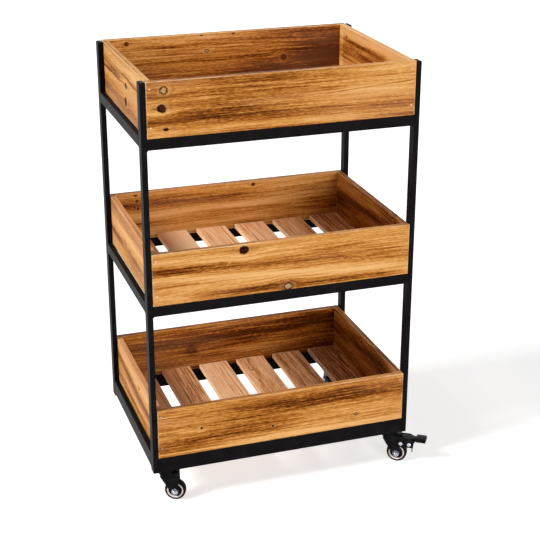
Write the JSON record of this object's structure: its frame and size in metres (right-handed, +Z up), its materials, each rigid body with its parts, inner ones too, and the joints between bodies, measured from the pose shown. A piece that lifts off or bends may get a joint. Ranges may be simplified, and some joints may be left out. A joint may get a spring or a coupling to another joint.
{
  "type": "serving cart",
  "caption": "Rolling serving cart: open wooden crates stacked in tiers on a slim black tube frame, with slatted floors, swivel casters and foot brakes.",
  "frame": {"origin": "floor point under the middle of the frame", "axes": "+Z up; +X to the right along the cart's long side, seen from the front; the front long side faces -Y"},
  "size_m": [0.5491, 0.4011, 0.806],
  "materials": {
    "frame_black": "satin black powder coat",
    "cap_plastic": "moulded black plastic",
    "crate_wood": "warm brown stained fir with dark horizontal grain",
    "slat_wood": "lighter stained fir slats",
    "fastener_steel": "plain bright steel",
    "zinc": "bright zinc plate",
    "caster_black": "gloss black coated pressed steel",
    "tyre_black": "smooth black polyurethane",
    "hub_cream": "cream moulded wheel centre"
  },
  "bodies": {
    "cart": {"front_left_post": "frame_black", "front_right_post": "frame_black", "rear_left_post": "frame_black", "rear_right_post": "frame_black", "bottom_front_rail": "frame_black", "bottom_rear_rail": "frame_black", "bottom_left_rail": "frame_black", "bottom_right_rail": "frame_black", "middle_front_rail": "frame_black", "middle_rear_rail": "frame_black", "middle_left_rail": "frame_black", "middle_right_rail": "frame_black", "top_front_rail": "frame_black", "top_rear_rail": "frame_black", "top_left_rail": "frame_black", "top_right_rail": "frame_black", "post_caps": "cap_plastic", "post_plugs": "cap_plastic", "bottom_front_panel": "crate_wood", "bottom_back_panel": "crate_wood", "bottom_left_panel": "crate_wood", "bottom_right_panel": "crate_wood", "bottom_slats": "slat_wood", "middle_front_panel": "crate_wood", "middle_back_panel": "crate_wood", "middle_left_panel": "crate_wood", "middle_right_panel": "crate_wood", "middle_slats": "slat_wood", "top_front_panel": "crate_wood", "top_back_panel": "crate_wood", "top_left_panel": "crate_wood", "top_right_panel": "crate_wood", "top_slats": "slat_wood", "crate_brads": "fastener_steel", "crate_screws": "fastener_steel", "corner_plates": "frame_black", "swivel_races": "caster_black", "swivel_balls": "zinc", "swivel_kingpins": "zinc"},
    "front_left_swivel": {"front_left_fork": "caster_black", "front_left_axle": "zinc"},
    "front_left_roller": {"front_left_wheel": "hub_cream", "front_left_tyre": "tyre_black"},
    "front_right_swivel": {"front_right_fork": "caster_black", "front_right_axle": "zinc", "front_right_brake_rivets": "zinc"},
    "front_right_roller": {"front_right_wheel": "hub_cream", "front_right_tyre": "tyre_black"},
    "front_right_brake": {"front_right_brake_pedal": "caster_black"},
    "rear_left_swivel": {"rear_left_fork": "caster_black", "rear_left_axle": "zinc", "rear_left_brake_rivets": "zinc"},
    "rear_left_roller": {"rear_left_wheel": "hub_cream", "rear_left_tyre": "tyre_black"},
    "rear_left_brake": {"rear_left_brake_pedal": "caster_black"},
    "rear_right_swivel": {"rear_right_fork": "caster_black", "rear_right_axle": "zinc"},
    "rear_right_roller": {"rear_right_wheel": "hub_cream", "rear_right_tyre": "tyre_black"}
  },
  "joints": [
    {"name": "front_left_swivel_turn", "type": "hinge", "parent": "cart", "child": "front_left_swivel", "pos_m": [-0.227, -0.157, 0.066], "axis": [0, 0, 1], "continuous": true},
    {"name": "front_left_wheel_roll", "type": "hinge", "parent": "front_left_swivel", "child": "front_left_roller", "pos_m": [-0.21147, -0.16392, 0.02], "axis": [0.4067, 0.9135, 0], "continuous": true},
    {"name": "front_right_swivel_turn", "type": "hinge", "parent": "cart", "child": "front_right_swivel", "pos_m": [0.227, -0.157, 0.066], "axis": [0, 0, 1], "continuous": true},
    {"name": "front_right_wheel_roll", "type": "hinge", "parent": "front_right_swivel", "child": "front_right_roller", "pos_m": [0.24109, -0.16651, 0.02], "axis": [0.5592, 0.829, 0], "continuous": true},
    {"name": "front_right_brake_press", "type": "hinge", "parent": "front_right_swivel", "child": "front_right_brake", "pos_m": [0.24806, -0.1712, 0.0428], "axis": [0.5592, 0.829, 0], "range_deg": [0, 10]},
    {"name": "rear_left_swivel_turn", "type": "hinge", "parent": "cart", "child": "rear_left_swivel", "pos_m": [-0.227, 0.157, 0.066], "axis": [0, 0, 1], "continuous": true},
    {"name": "rear_left_wheel_roll", "type": "hinge", "parent": "rear_left_swivel", "child": "rear_left_roller", "pos_m": [-0.21037, 0.16053, 0.02], "axis": [-0.2079, 0.9781, 0], "continuous": true},
    {"name": "rear_left_brake_press", "type": "hinge", "parent": "rear_left_swivel", "child": "rear_left_brake", "pos_m": [-0.20216, 0.16228, 0.0428], "axis": [-0.2079, 0.9781, 0], "range_deg": [0, 10]},
    {"name": "rear_right_swivel_turn", "type": "hinge", "parent": "cart", "child": "rear_right_swivel", "pos_m": [0.227, 0.157, 0.066], "axis": [0, 0, 1], "continuous": true},
    {"name": "rear_right_wheel_roll", "type": "hinge", "parent": "rear_right_swivel", "child": "rear_right_roller", "pos_m": [0.22878, 0.17391, 0.02], "axis": [-0.9945, 0.1045, 0], "continuous": true}
  ]
}
